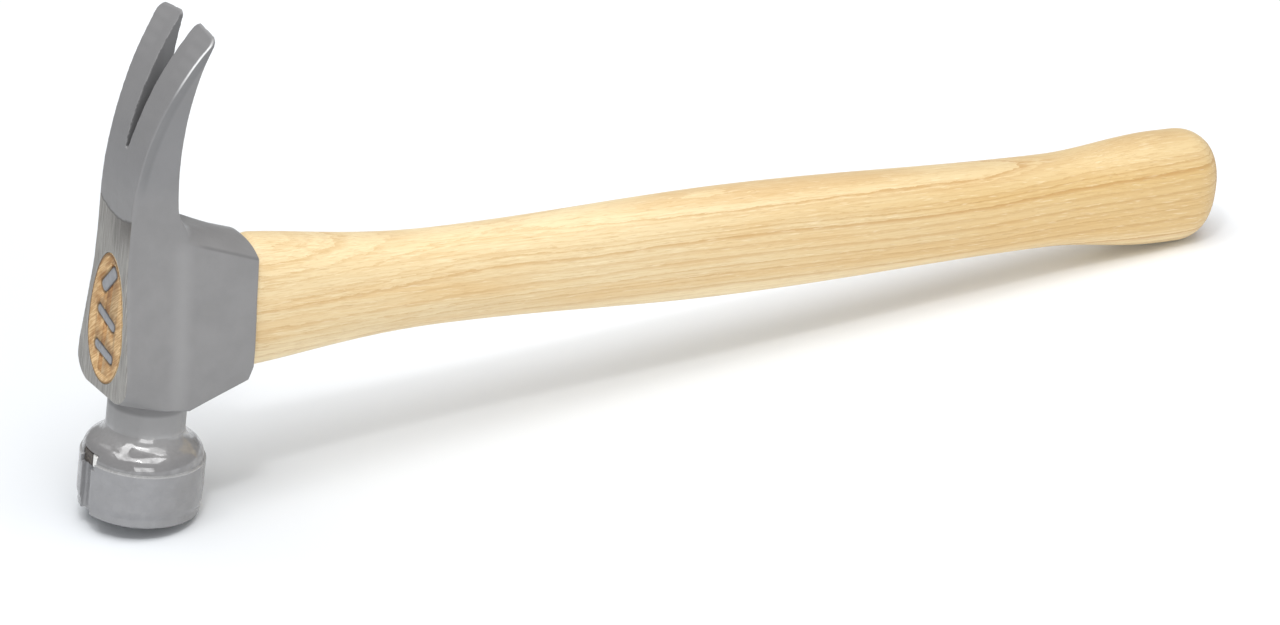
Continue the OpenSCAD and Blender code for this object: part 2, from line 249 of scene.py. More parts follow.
def claw_backs():
    """The claws' back and the inside corner that touches both it and the sloping shoulder."""
    sweep = math.asin((TIP_H - TIP_BACK_DROP - CLAW_BACK_H) / CLAW_BACK_R)
    x, h = CLAW_BACK_R + CLAW_BACK_X, CLAW_BACK_H
    reach = ((h - REAR_TOP_H) * math.cos(SHOULDER_SLOPE) + (x - BODY_REAR) * math.sin(SHOULDER_SLOPE)
             - CROTCH_R)
    turn = math.asin(reach / (CLAW_BACK_R - CROTCH_R)) - SHOULDER_SLOPE
    corner = (x - (CLAW_BACK_R - CROTCH_R) * math.cos(turn), h - (CLAW_BACK_R - CROTCH_R) * math.sin(turn))
    met = 180 + math.degrees(turn)
    return (arc((x, h), CLAW_BACK_R, 180 - math.degrees(sweep), met, 18)
            + arc(corner, CROTCH_R, met, 270 - math.degrees(SHOULDER_SLOPE)))


def side_outline():
    rear_h = REAR_TOP_H + REAR_ROUND * (math.tan(SHOULDER_SLOPE) - 1 / math.cos(SHOULDER_SLOPE))
    rear_top = arc((BODY_REAR - REAR_ROUND, rear_h), REAR_ROUND, 90 - math.degrees(SHOULDER_SLOPE), 0)
    return ([(-BODY_FRONT, LOW_FRONT_H)] + claw_fronts() + [(TIP_X, TIP_H + TIP_RISE)] + claw_backs()
            + rear_top + KEEL)


# BEHIND takes in all that lies under the claws' back and the shoulder, and AHEAD all that lies behind
# the claws' front. Both close far outside the head, and run out over the tips at these places.
FAR = 80
BACK_RUN_OUT = (8, TIP_H + FAR)
FRONT_RUN_OUT = (20, TIP_H + 20)
SIDE = side_outline()
BEHIND = claw_backs() + [(BODY_REAR + FAR, REAR_TOP_H - FAR * math.tan(SHOULDER_SLOPE)),
                         (BODY_REAR + FAR, -FAR), (-FAR, -FAR), (-FAR, TIP_H + FAR), BACK_RUN_OUT]
AHEAD = [(-BODY_FRONT, -FAR)] + claw_fronts() + [FRONT_RUN_OUT, (FAR, FRONT_RUN_OUT[1]), (FAR, -FAR)]


def egg(gap=0):
    """The eye's outline, as places across and up."""
    turns = np.arange(RING_CORNERS) * 2 * math.pi / RING_CORNERS
    reach = np.where(np.sin(turns) > 0, EYE_UP, EYE_DOWN)
    return list(zip((EYE_W / 2 - gap) * np.cos(turns), EYE_MID_H + (reach - gap) * np.sin(turns)))


# Shape of the head

def half_width(x, z):
    """Half of the head's width: two planes that meet in a soft ridge."""
    front, ridge, rear = (through(list(zip(WIDTH_HEIGHTS, half)), z)
                          for half in (FRONT_HALF, RIDGE_HALF, REAR_HALF))
    ahead = ridge + (ridge - front) * x / BODY_FRONT
    behind = ridge - (ridge - rear) * x / BODY_REAR
    mix = np.clip(0.5 + 0.5 * (behind - ahead) / RIDGE_SOFT, 0, 1)
    return behind * (1 - mix) + ahead * mix - RIDGE_SOFT * mix * (1 - mix)


def cheeks(x, y, z):
    step = 0.05
    slope = (half_width(x, z + step) - half_width(x, z - step)) / (2 * step)
    return (np.abs(y) - half_width(x, z)) / np.hypot(1, slope)


def claw_tips(y, z):
    return (z - TIP_H - TIP_CROWN + TIP_FALL * np.abs(y)) / math.hypot(1, TIP_FALL)


def crown(x, z, flank):
    """The claws' back and the shoulder, with the facets that run from them to the cheeks."""
    share = FACET_LEFT + (1 - FACET_LEFT) * (1 - soft_step((z - FACET_END_H) / FACET_END_L))
    top = outline_distance(x, z, BEHIND)
    return rounded(top, bevelled(top, flank, FACET_DOWN * share, FACET_ACROSS * share), FACET_R * share)


def claw_bevel(x, z, flank):
    """The narrow flat along each edge of the claws' front."""
    grown, closed = (soft_step((z - start) / length) for start, length in (BEVEL_GROWS, BEVEL_CLOSES))
    back, across = (least + growth * grown - loss * closed
                    for least, growth, loss in (BEVEL_BACK, BEVEL_ACROSS))
    return bevelled(outline_distance(x, z, AHEAD), flank, back, across)


def low_corners(x, y, z):
    """The rounding of the front face's lower corners, which runs out behind it."""
    corner = np.hypot(np.maximum(np.abs(y) - LOW_FRONT_HALF + CORNER_R, 0),
                      np.maximum(LOW_FRONT_H + CORNER_R - z, 0)) - CORNER_R
    return (corner - CORNER_RUN_OUT * (x + BODY_FRONT)) / math.hypot(1, CORNER_RUN_OUT)


def forging(x, y, z):
    """Body and claws."""
    flank = rounded(cheeks(x, y, z), claw_tips(y, z), TIP_CORNER_R)
    shape = rounded(outline_distance(x, z, SIDE), flank, CHEEK_EDGE_R)
    shape = rounded(shape, crown(x, z, flank), CROWN_EDGE_R)
    shape = rounded(shape, claw_bevel(x, z, flank), CLAW_BEVEL_R)
    return rounded(shape, low_corners(x, y, z), LOW_CORNER_R)


def poll(x, y, z):
    """Bell and neck."""
    r = np.hypot(x, y)
    side = rounded(r - BELL_R, z - BELL_H, BELL_EDGE_R)
    side = rounded(side, (r - BELL_R + FACE_BEVEL - z) / math.sqrt(2), FACE_BEVEL_R)
    side = rounded(side, -z, FACE_EDGE_R)
    shoulder = rounded(r - BELL_R + SHOULDER_STEP, z - SHOULDER_TOP, SHOULDER_R)
    bell = np.minimum(side, rounded(shoulder, SHOULDER_FOOT - z, HIDDEN_EDGE_R))
    square = rounded(np.abs(x) - NECK_R, np.abs(y) - NECK_R, HIDDEN_EDGE_R)
    diamond = (np.abs(x) + np.abs(y)) / math.sqrt(2) - NECK_R
    neck = rounded(square, diamond, NECK_EDGE_R)
    neck = rounded(neck, np.abs(z - NECK_MID_H) - NECK_HALF_L, HIDDEN_EDGE_R)
    return filleted(bell, neck, NECK_FILLET_R)


def nail_slot(y, z):
    low = SLOT[0][0]
    return np.hypot(y, np.maximum(low - z, 0)) - through(SLOT, np.maximum(z, low))


def nail_groove(x, y, z):
    groove = rounded(np.abs(y) - GROOVE_W / 2, x + BELL_R - GROOVE_DEPTH, GROOVE_R)
    return np.maximum(groove, z - MAGNET_LOW - GROOVE_PAST)


def magnet_pocket(x, y, z):
    pocket = np.maximum(np.abs(y) - MAGNET_W / 2 - MAGNET_GAP,
                        x + BELL_R - MAGNET_SET - MAGNET_T - MAGNET_GAP)
    return np.maximum(pocket, np.abs(z - MAGNET_LOW - MAGNET_H / 2) - MAGNET_H / 2 - MAGNET_GAP)


def head_shape(x, y, z):
    shape = filleted(poll(x, y, z), forging(x, y, z), BODY_FILLET_R)
    shape = rounded(shape, -outline_distance(y, z, egg()), EYE_EDGE_R)
    slot = nail_slot(y, z)
    shape = np.maximum(rounded(shape, -slot, SLOT_EDGE_R), rounded(claw_tips(y, z), -slot, TIP_CORNER_R))
    shape = rounded(shape, -nail_groove(x, y, z), GROOVE_EDGE_R)
    return rounded(shape, -magnet_pocket(x, y, z), POCKET_EDGE_R)


# Lowest and highest corner of the magnet

MAGNET_LOW_CORNER = np.array([MAGNET_SET - BELL_R, -MAGNET_W / 2, MAGNET_LOW])
MAGNET_HIGH_CORNER = MAGNET_LOW_CORNER + (MAGNET_T, MAGNET_W, MAGNET_H)


def magnet_shape(x, y, z):
    depth, across, up = (np.abs(place - (low + high) / 2) - (high - low) / 2
                         for place, low, high in zip((x, y, z), MAGNET_LOW_CORNER, MAGNET_HIGH_CORNER))
    return rounded(rounded(depth, across, MAGNET_SIDE_R), up, MAGNET_END_R)


# Meshes

# Steps that find each place where the surface crosses the grid
CROSSING_STEPS = 4
# Pull of each corner of the mesh towards the middle of the crossings round it
MIDDLE_PULL = 0.03
# Angle in degrees from which an edge is shaded sharp
SHARP_ANGLE = 40


def slopes_at(field, points, step=0.02):
    """Unit normals of a field at some points."""
    normals = np.empty_like(points)
    for axis in range(3):
        shift = np.zeros(3)
        shift[axis] = step
        ahead, behind = (points + shift).T, (points - shift).T
        normals[:, axis] = field(*ahead) - field(*behind)
    return normals / np.linalg.norm(normals, axis=1, keepdims=True)


def crossings(field, value, low, step, axis):
    """Where the surface crosses the grid's edges along one axis, and which of them leave the shape."""
    start = [slice(None)] * 3
    end = [slice(None)] * 3
    start[axis], end[axis] = slice(0, -1), slice(1, None)
    first, last = value[tuple(start)], value[tuple(end)]
    crossed = (first < 0) != (last < 0)
    corners = np.argwhere(crossed)
    a, b = first[crossed], last[crossed]
    leaves = a < 0
    near, far = np.zeros(len(a)), np.ones(len(a))
    points = low + step * corners
    for _ in range(CROSSING_STEPS):
        share = near + (far - near) * a / (a - b)
        points[:, axis] = low[axis] + step * (corners[:, axis] + share)
        middle = field(*points.T)
        before = (middle < 0) == leaves
        near, a = np.where(before, share, near), np.where(before, middle, a)
        far, b = np.where(before, far, share), np.where(before, b, middle)
    return corners, points, leaves


def cells_round(corners, axis, shape):
    """Numbers of the four cells round each grid edge along one axis."""
    u, v = (axis + 1) % 3, (axis + 2) % 3
    ring = []
    for du, dv in ((0, 0), (-1, 0), (-1, -1), (0, -1)):
        cell = corners.copy()
        cell[:, u] += du
        cell[:, v] += dv
        ring.append(np.ravel_multi_index(cell.T, shape))
    return np.stack(ring, 1)


def settled(cell, cell_count, points, normals):
    """One place for each cell, where the planes through its crossings meet best."""
    def total(amount):
        return np.bincount(cell, amount, cell_count)

    count = total(np.ones(len(cell)))
    middle = np.stack([total(points[:, i]) / count for i in range(3)], 1)
    offset = np.einsum("ij,ij->i", normals, points - middle[cell])
    pull = np.stack([total(normals[:, i] * offset) for i in range(3)], 1)
    grip = np.stack([[total(normals[:, i] * normals[:, j]) for j in range(3)] for i in range(3)])
    grip = np.moveaxis(grip, 2, 0) + MIDDLE_PULL * count[:, None, None] * np.eye(3)
    return middle + np.linalg.solve(grip, pull[:, :, None])[:, :, 0]


def contour(field, low, high, step):
    """Corners and four-sided faces of a field's surface, with its creases kept sharp."""
    low = np.array(low, float)
    ticks = [np.arange(a, b + step, step) for a, b in zip(low, high)]
    value = field(*np.meshgrid(*ticks, indexing="ij", sparse=True))
    cells, points, normals, faces = [], [], [], []
    for axis in range(3):
        corners, places, leaves = crossings(field, value, low, step, axis)
        ring = cells_round(corners, axis, value.shape)
        faces.append(np.where(leaves[:, None], ring, ring[:, ::-1]))
        cells.append(ring)
        points.append(np.repeat(places, 4, 0))
        normals.append(np.repeat(slopes_at(field, places), 4, 0))
    used, cell = np.unique(np.concatenate(cells).ravel(), return_inverse=True)
    places = settled(cell, len(used), np.concatenate(points), np.concatenate(normals))
    corner = low + step * np.stack(np.unravel_index(used, value.shape), 1)
    return np.clip(places, corner, corner + step), np.searchsorted(used, np.concatenate(faces))


def new_piece(name, points, faces):
    mesh = bpy.data.meshes.new(name)
    mesh.from_pydata(to_frame(points).tolist(), [], [list(map(int, f)) for f in faces])
    mesh.update()
    mesh.shade_smooth()
    mesh.set_sharp_from_angle(angle=math.radians(SHARP_ANGLE))
    piece = bpy.data.objects.new(name, mesh)
    bpy.context.scene.collection.objects.link(piece)
    return piece


def loft(rings):
    """Corners and faces of a closed skin through rings of equal count."""
    n = len(rings[0])
    points = np.concatenate(rings)
    faces = [(r * n + i, r * n + (i + 1) % n, (r + 1) * n + (i + 1) % n, (r + 1) * n + i)
             for r in range(len(rings) - 1) for i in range(n)]
    return points, faces + [tuple(range(n))[::-1], tuple(range(len(points) - n, len(points)))]


def carve(piece, *cutters):
    """Cuts pieces out of a piece, then drops the cutters."""
    for cutter in cutters:
        cut = piece.modifiers.new("cut", "BOOLEAN")
        cut.object = cutter
        cut.solver = "EXACT"
    graph = bpy.context.evaluated_depsgraph_get()
    carved = bpy.data.meshes.new_from_object(piece.evaluated_get(graph))
    piece.modifiers.clear()
    piece.data = carved
    for cutter in cutters:
        bpy.data.objects.remove(cutter)


# Handle

# Lengths behind the head: of the whole handle, of its rounded end and up to that end
HEAD_TO_BUTT = 357
BUTT_ROUND = 13
STRAIGHT_L = HEAD_TO_BUTT - BUTT_ROUND
# Height of the handle's centre line
AXIS_H = 64.1
# Height and width of the handle at each of its stations behind the head
COLLAR = (41.4, 24.4)
WAIST = (29.4, 23.2)
BELLY = (35.2, 23.8)
GRIP = (30, 24)
BUTT = (37.2, 27)
STATIONS = ((0, COLLAR), (69, WAIST), (174, BELLY), (292, GRIP), (338, BUTT))
# Share of the way to the waist at which the handle has lost half of its flare
FLARE_SHARE = 0.4
# Powers that make the handle's section and its end fuller than an oval
SECTION_POWER = 2.3
END_POWER = 2.5
# Depths below the front face and gaps in the eye, at the tenon's face and at the end of its soft edge
TENON_FACE = (0.03, 0.2)
TENON_EDGE = (0.1, 0.15)
# Distances from the front and the rear face to the tenon's first and last straight ring
TENON_ENDS = (2, 0.2)
# The handle's rounding where it leaves the head: its gap there, its length, the shares of that length
# at which its rings lie, and its loss of height and width
ROOT_GAP = 0.35
ROOT_L = 4.2
ROOT_SHARES = (0.0, 0.1, 0.25, 0.45, 0.7)
ROOT_ROUND = (3.0, 1.0)
# Rings of the tenon, of the handle behind its root and of its rounded end
TENON_RINGS = 8
SHAFT_RINGS = 150
END_RINGS = 15


def girth(x):
    """Height and width of the handle at a distance behind the head."""
    if x >= STATIONS[-1][0]:
        return np.array(BUTT, float)
    i = max(k for k in range(len(STATIONS) - 1) if x >= STATIONS[k][0])
    (start, a), (end, b) = STATIONS[i], STATIONS[i + 1]
    share = (x - start) / (end - start)
    if i == 0:
        share = share ** (math.log(0.5) / math.log(FLARE_SHARE))
    ease = (1 - math.cos(math.pi * share)) / 2
    return np.array(a) + (np.array(b) - np.array(a)) * ease


def handle_ring(x, size):
    turns = np.arange(RING_CORNERS) * 2 * math.pi / RING_CORNERS
    across, up = (np.sign(s) * np.abs(s) ** (2 / SECTION_POWER) for s in (np.cos(turns), np.sin(turns)))
    return np.stack([np.full(RING_CORNERS, BODY_REAR + x), size[1] / 2 * across,
                     AXIS_H + size[0] / 2 * up], 1)


def root_ring(share):
    """A ring of the handle where it leaves the head."""
    x = ROOT_L * share
    return handle_ring(ROOT_GAP + x, girth(x) - np.array(ROOT_ROUND) * (1 - share) ** 2)


def end_ring(share):
    """A ring of the butt's rounded end."""
    shrink = 1 - (1 - share ** END_POWER) ** (1 / END_POWER)
    size = np.array(BUTT, float) * (1 - shrink * 2 * BUTT_ROUND / BUTT[0])
    return handle_ring(STRAIGHT_L + BUTT_ROUND * share, size)


def tenon_ring(x, gap):
    return np.array([(x, y, z) for y, z in egg(gap)])


def handle_rings():
    first, last = -BODY_FRONT + TENON_ENDS[0], BODY_REAR - TENON_ENDS[1]
    rings = [tenon_ring(-BODY_FRONT + depth, gap) for depth, gap in (TENON_FACE, TENON_EDGE)]
    rings += [tenon_ring(x, TENON_EDGE[1]) for x in np.linspace(first, last, TENON_RINGS)]
    rings += [root_ring(share) for share in ROOT_SHARES]
    rings += [handle_ring(x, girth(x)) for x in np.linspace(ROOT_L, STRAIGHT_L, SHAFT_RINGS)]
    return rings + [end_ring(share) for share in np.sin(np.linspace(0, math.pi / 2, END_RINGS + 1)[1:])]


# Wedges: tapering blocks whose outer faces are flush with the tenon's

# Gap round each wedge, and how far its outer face lies below the front face
WEDGE_GAP = 0.24
WEDGE_SET = 0.05
# The soft edge of a wedge's outer face: depths below that face, and growth there
WEDGE_EDGE = ((0, -0.35), (0.12, -0.12), (0.35, 0))
# How far a pocket's cutter starts in front of the front face
OVERRUN = 1
# The most of a wedge's half thickness that its rounded corners take
CORNER_SHARE = 0.9
CORNER_STEPS = 5


class Wedge:
    """A wedge across the eye at a height, with its thickness turned by an angle in degrees."""

    def __init__(self, up, turn, width, outer_t, inner_t, depth, corner):
        self.up = up
        self.turn = math.radians(turn)
        self.width = width
        self.outer_t = outer_t
        self.inner_t = inner_t
        self.depth = depth
        self.corner = corner

    def ring(self, x, grown):
        share = min(max(x / self.depth, 0), 1)
        t = (self.outer_t + (self.inner_t - self.outer_t) * share) / 2 + grown
        w = self.width / 2 + grown
        r = min(self.corner, CORNER_SHARE * t)
        corners = ((1, 1, 0), (-1, 1, 90), (-1, -1, 180), (1, -1, 270))
        outline = [p for sx, sy, start in corners
                   for p in arc((sx * (t - r), sy * (w - r)), r, start, start + 90, CORNER_STEPS)]
        c, s = math.cos(self.turn), math.sin(self.turn)
        return np.array([(x - BODY_FRONT, a * c - b * s, self.up + a * s + b * c) for a, b in outline])

    def skin(self):
        edge = [self.ring(WEDGE_SET + x, grown) for x, grown in WEDGE_EDGE]
        return loft(edge + [self.ring(self.depth, 0)])

    def pocket(self):
        return loft([self.ring(x, WEDGE_GAP) for x in (-OVERRUN, self.depth + WEDGE_GAP)])


WOODEN = "wooden_wedge"
LOW_STEEL = {"width": 11.6, "outer_t": 3.2, "inner_t": 0.8, "depth": 16, "corner": 1.3}
WEDGES = {
    WOODEN: Wedge(up=63.35, turn=6, width=34.7, outer_t=2.6, inner_t=1, depth=30, corner=0.3),
    "steel_wedge_top": Wedge(up=75.5, turn=42, width=11, outer_t=4, inner_t=0.8, depth=16, corner=1.6),
    "steel_wedge_middle": Wedge(up=63.4, turn=107, **LOW_STEEL),
    "steel_wedge_bottom": Wedge(up=52.8, turn=100, **LOW_STEEL),
}
STEEL_WEDGES = [wedge for node, wedge in WEDGES.items() if node != WOODEN]


# Colours

def colour(r, g, b):
    """A colour of the screen, from 0 to 255, as the shader takes it."""
    return tuple((c / 255) ** 2.2 for c in (r, g, b)) + (1.0,)


PAINT_LOW = colour(126, 125, 125)
PAINT_HIGH = colour(132, 131, 131)
PAINT_CLAWS = colour(121, 121, 123)
PAINT_SHOULDER = colour(112, 111, 112)
# Painted highlight along the ridge of each cheek
PAINT_RIDGE_HIGHLIGHT = colour(148, 147, 147)
# Painted light on the bell's side, most on its side towards the front face
PAINT_BELL_LIGHT = colour(141, 141, 143)
# Painted light on the neck
PAINT_NECK_LIGHT = colour(149, 148, 148)
# Painted shade in the hollow under the body
PAINT_HOLLOW_SHADE = colour(98, 97, 97)
# Painted shade on the claws' bevels
PAINT_CLAW_SHADE = colour(108, 108, 109)
PAINT_SHADE = colour(84, 84, 85)
# Wear and painted highlights on the edges, and a painted highlight on the ledge over the bell's side
PAINT_WORN_AND_HIGHLIGHT = colour(190, 190, 190)
# Painted highlight along the claws' front edges near the tips
TIP_HIGHLIGHT = colour(250, 250, 250)

GROUND_DARK = colour(126, 124, 120)
GROUND_PALE = colour(180, 177, 172)
GROUND_SCRATCH = colour(104, 100, 94)
GROUND_BURNT = colour(84, 80, 76)
GROUND_LIP = colour(70, 67, 64)

WEDGE_DARK = colour(140, 141, 144)
WEDGE_PALE = colour(160, 161, 165)
WEDGE_SPOT = colour(128, 124, 118)
# Painted shade along the rim of each steel wedge
WEDGE_RIM_SHADE = colour(84, 80, 78)

MAGNET_DARK = colour(62, 56, 52)
MAGNET_PALE = colour(104, 96, 88)
# A line of painted shade and a painted highlight on the magnet's end towards -Y
MAGNET_SHADE_LINE = colour(48, 42, 38)
MAGNET_END_HIGHLIGHT = colour(240, 238, 234)

WOOD_PALE = colour(229, 207, 163)
WOOD_MID = colour(224, 193, 141)
# Paler wood at the handle's edges, most at the lower edge, where it is painted light over the shade
WOOD_EDGE_AND_PAINTED_LIGHT = colour(243, 224, 182)
WOOD_BUTT = colour(217, 181, 116)
WOOD_LINE = colour(200, 159, 102)
WOOD_BUTT_LINE = colour(188, 138, 74)
WOOD_DARK = colour(190, 142, 82)
WOOD_FLECK = colour(246, 231, 196)
WOOD_PORE = colour(172, 126, 76)
END_PALE = colour(227, 194, 146)
END_TAN = colour(192, 152, 104)
END_BROWN = colour(140, 94, 52)
# Painted shade in the gaps round the steel wedges and the eye
END_GAP_SHADE = colour(92, 64, 40)

# White, and the tint of the wooden wedge, whose wood is darker than the handle's
WHITE = (1, 1, 1, 1)
WEDGE_WOOD_TINT = (0.8, 0.68, 0.56, 1)
# The floor where it gets more light and where it gets less
FLOOR_LIT = (0.775, 0.798, 0.824, 1)
FLOOR_DIM = (0.94, 0.968, 0.999, 1)

# How metallic bare steel looks, from 0 to 1
STEEL_METALLIC = 0.35


# Materials

class Nodes:
    """A short way to write a material's nodes: each call adds nodes and returns their main output."""

    def __init__(self, name):
        self.material = bpy.data.materials.new(name)
        self.material.use_nodes = True
        self.tree = self.material.node_tree
        self.shader = self.tree.nodes["Principled BSDF"]

    def put(self, socket, value):
        if isinstance(value, bpy.types.NodeSocket):
            self.tree.links.new(value, socket)
        else:
            socket.default_value = value

    def add(self, kind, inputs=(), out=0, **settings):
        node = self.tree.nodes.new("ShaderNode" + kind)
        for key, value in settings.items():
            setattr(node, key, value)
        for key, value in dict(inputs).items():
            self.put(node.inputs[key], value)
        return node.outputs[out]

    def parts(self, vector):
        node = self.tree.nodes.new("ShaderNodeSeparateXYZ")
        self.put(node.inputs[0], vector)
        return node.outputs

    def math(self, operation, a, b=0.0, c=0.0):
        return self.add("Math", {0: a, 1: b, 2: c}, operation=operation)

    def plus(self, a, b):
        return self.math("ADD", a, b)

    def minus(self, a, b):
        return self.math("SUBTRACT", a, b)

    def times(self, first, *others):
        for other in others:
            first = self.math("MULTIPLY", first, other)
        return first

    def over(self, a, b):
        return self.math("DIVIDE", a, b)

    def most(self, first, *others):
        for other in others:
            first = self.math("MAXIMUM", first, other)
        return first

    def scaled(self, value, factor, shift):
        """The value times a factor, plus a shift."""
        return self.math("MULTIPLY_ADD", value, factor, shift)

    def size(self, value):
        """The value without its sign."""
        return self.math("ABSOLUTE", value)

    def off(self, value, centre):
        """How far the value is from a centre, to either side."""
        return self.size(self.minus(value, centre))

    def past(self, value, limit):
        """How far the value is past a limit, or nought."""
        return self.most(self.minus(value, limit), 0.0)

    def length(self, a, b):
        return self.math("SQRT", self.plus(self.times(a, a), self.times(b, b)))

    def ramp(self, value, start, end, low=0.0, high=1.0):
        """A smooth step as the value runs from start to end."""
        return self.add("MapRange", {"Value": value, "From Min": start, "From Max": end,
                                     "To Min": low, "To Max": high}, interpolation_type="SMOOTHSTEP")

    def band(self, value, start, full, fading, end):
        """Rises from start to full, and falls again from fading to end."""
        return self.times(self.ramp(value, start, full), self.ramp(value, end, fading))

    def stretch(self, vector, scale, turn=(0, 0, 0)):
        """Scales a place along its axes and then turns it."""
        return self.add("Mapping", {"Vector": vector, "Rotation": turn, "Scale": scale})

    def noise(self, vector, detail, roughness=0.55):
        """Grey noise with one blob a unit."""
        return self.add("TexNoise", {"Vector": vector, "Scale": 1.0, "Detail": detail,
                                     "Roughness": roughness})

    def blend(self, share, a, b, mode="MIX"):
        node = self.tree.nodes.new("ShaderNodeMix")
        node.data_type = "RGBA"
        node.blend_type = mode
        self.put(node.inputs[0], share)
        self.put(node.inputs[6], a)
        self.put(node.inputs[7], b)
        return node.outputs[2]

    def layered(self, base, *layers):
        """A colour with others laid over it, each by its own share."""
        for share, upper in layers:
            base = self.blend(share, base, upper)
        return base

    def bumps(self, first, *others):
        """Raises the surface by some heights, each times a depth in millimetres."""
        bump = self.add("Bump", {"Height": first[0], "Distance": first[1] * MM})
        for height, depth in others:
            bump = self.add("Bump", {"Height": height, "Distance": depth * MM, "Normal": bump})
        return bump

    def finish(self, **sockets):
        for key, value in sockets.items():
            self.put(self.shader.inputs[key.replace("_", " ")], value)
        return self.material


class HammerNodes(Nodes):
    """Nodes that know their place in the head's own axes, in millimetres."""

    def __init__(self, name):
        super().__init__(name)
        self.place = self.in_head_axes("Object", (1 / MM, 1 / MM, 1 / MM))
        self.x, self.y, self.z = self.parts(self.place)

    def in_head_axes(self, coordinate, scale=(1, 1, 1)):
        """One of the surface's coordinates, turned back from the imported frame."""
        return self.stretch(self.add("TexCoord", out=coordinate), scale, (0, -REST_TILT, 0))

    def facing(self):
        """The parts of the surface's direction."""
        return self.parts(self.in_head_axes("Normal"))

    def grain(self, scale, detail, roughness=0.55):
        """Noise with a number of blobs a millimetre, given once or for each axis."""
        scale = scale if isinstance(scale, tuple) else (scale, scale, scale)
        return self.noise(self.stretch(self.place, scale), detail, roughness)


# Material of the head: grey paint, and steel where the front face is ground bare

# Heights at which a shade of the paint starts, is full, starts to fade and ends: the darker shoulder, the
# painted light on the neck, the painted shade in the hollow under the body, the painted highlight near the
# tips, and the wear and painted highlights of the edges
SHOULDER_BAND = (BELL_H, BELL_H + 0.6, 22, SHOULDER_TOP + 1)
NECK_LIGHT_BAND = (22, 27, 34, 37)
HOLLOW_SHADE_BAND = (34.2, 35.6, 41, 42)
TIP_HIGHLIGHT_BAND = (134, 148, 151, 153.5)
WORN_AND_HIGHLIGHT_BAND = (26, 34, 83, 90)
# The same as distances behind the claws' front: painted shade on their bevels and a painted highlight along
# their edges
CLAW_SHADE_BAND = (0.3, 0.7, 2.2, 3.6)
CLAW_HIGHLIGHT_BAND = (0.0, 0.25, 0.45, 0.75)
# The same as depths below the ragged edge of the ground face
LIP_BAND = (-0.5, 0.1, 0.3, 0.7)
# Heights between which the poll's gloss ends, and between which the satin grain of the body starts
GLOSS_END = (30, 27)
SATIN_START = (27, 36)
# Roughness of the paint, how much smoother the gloss is and how much rougher the satin grain makes it
PAINT_ROUGH = 0.38
GLOSS_SMOOTHER = 0.14
SATIN_ROUGHER = 0.08
# Depths of the satin grain, the poll's waves, the scratches of grinding and the bell's turning marks
SATIN_DEPTH = 0.03
WAVE_DEPTH = 0.5
SCRATCH_DEPTH = 0.05
TURNING_DEPTH = 0.03
# Where the ground face starts, forwards and upwards
GROUND_X = (-15.75, -15.98)
GROUND_FOOT = (37, 38)
# Its upper edge: height, lowest place across, how it bends up to both sides, and how ragged it is
GROUND_H = 94.9
GROUND_MID = -2.0
GROUND_BEND = 0.02
GROUND_RAGGED = 2.0


def behind_claw_front(m):
    """How far a place lies behind the claws' front and the front face under it."""
    across = m.minus(m.x, CLAW_FRONT_R - BODY_FRONT)
    return m.minus(CLAW_FRONT_R, m.length(across, m.past(m.z, CLAW_H)))


def slot_walls(m):
    """Where the walls of the nail slot are."""
    facing = m.ramp(m.size(m.facing()[1]), 0.7, 0.9)
    return m.times(facing, m.ramp(m.size(m.y), 6.5, 5.5), m.ramp(m.z, 112, 114))


def facet_creases(m):
    """Thin lines between each cheek and the facet of the shoulder over it."""
    c, s = math.cos(SHOULDER_SLOPE), math.sin(SHOULDER_SLOPE)
    below = m.minus(m.scaled(m.x, -s, REAR_TOP_H * c + BODY_REAR * s), m.times(m.z, c))
    return m.times(m.ramp(m.off(below, FACET_DOWN), 0.6, 0.1), m.ramp(m.x, 5, 9))


def paint_colour(m):
    """Grey with random blotches, darker on the claws and the shoulder, with painted shade in the hollow
    under the body, on the claws' bevels, in the creases and in the slot, painted light on the ridge, the
    neck and the bell, and a painted highlight along the claws' front edges near the tips.
    """
    # Painted highlight along the soft ridge of each cheek
    ridge = m.times(m.ramp(m.off(m.x, 1.0), 5, 0), m.ramp(m.z, 92, 84), m.ramp(m.z, 34, 44, 0, 0.5))
    # Painted light on the bell's side, most on its side towards the front face
    bell = m.times(m.ramp(m.z, BELL_H, BELL_H - 0.5), m.ramp(m.x, 8, -8, 0, 0.8))
    # Painted shade in the hollow under the body
    hollow_shade = m.times(m.ramp(m.length(m.x, m.y), 15.2, 14.2), m.band(m.z, *HOLLOW_SHADE_BAND))
    behind = behind_claw_front(m)
    outer = m.ramp(m.size(m.y), 7, 9)
    # Painted shade on the claws' bevels, and a painted highlight along their front edges near the tips
    claw_shade = m.times(m.band(behind, *CLAW_SHADE_BAND), outer, m.ramp(m.z, 102, 114))
    claw_highlight = m.times(m.band(behind, *CLAW_HIGHLIGHT_BAND), m.band(m.z, *TIP_HIGHLIGHT_BAND), outer)
    return m.layered(m.blend(m.ramp(m.grain(0.09, 4), 0.3, 0.7), PAINT_LOW, PAINT_HIGH),
                     (m.ramp(m.z, 99, 112, 0, 0.5), PAINT_CLAWS),
                     (m.times(m.band(m.z, *SHOULDER_BAND), 0.45), PAINT_SHOULDER),
                     (ridge, PAINT_RIDGE_HIGHLIGHT),
                     (bell, PAINT_BELL_LIGHT),
                     # Painted light on the neck
                     (m.band(m.z, *NECK_LIGHT_BAND), PAINT_NECK_LIGHT),
                     (m.times(hollow_shade, 0.6), PAINT_HOLLOW_SHADE),
                     (m.times(claw_shade, 0.7), PAINT_CLAW_SHADE),
                     (m.times(claw_highlight, 0.85), TIP_HIGHLIGHT),
                     (m.times(slot_walls(m), 0.7), PAINT_SHADE),
                     (m.times(facet_creases(m), 0.35), PAINT_SHADE))


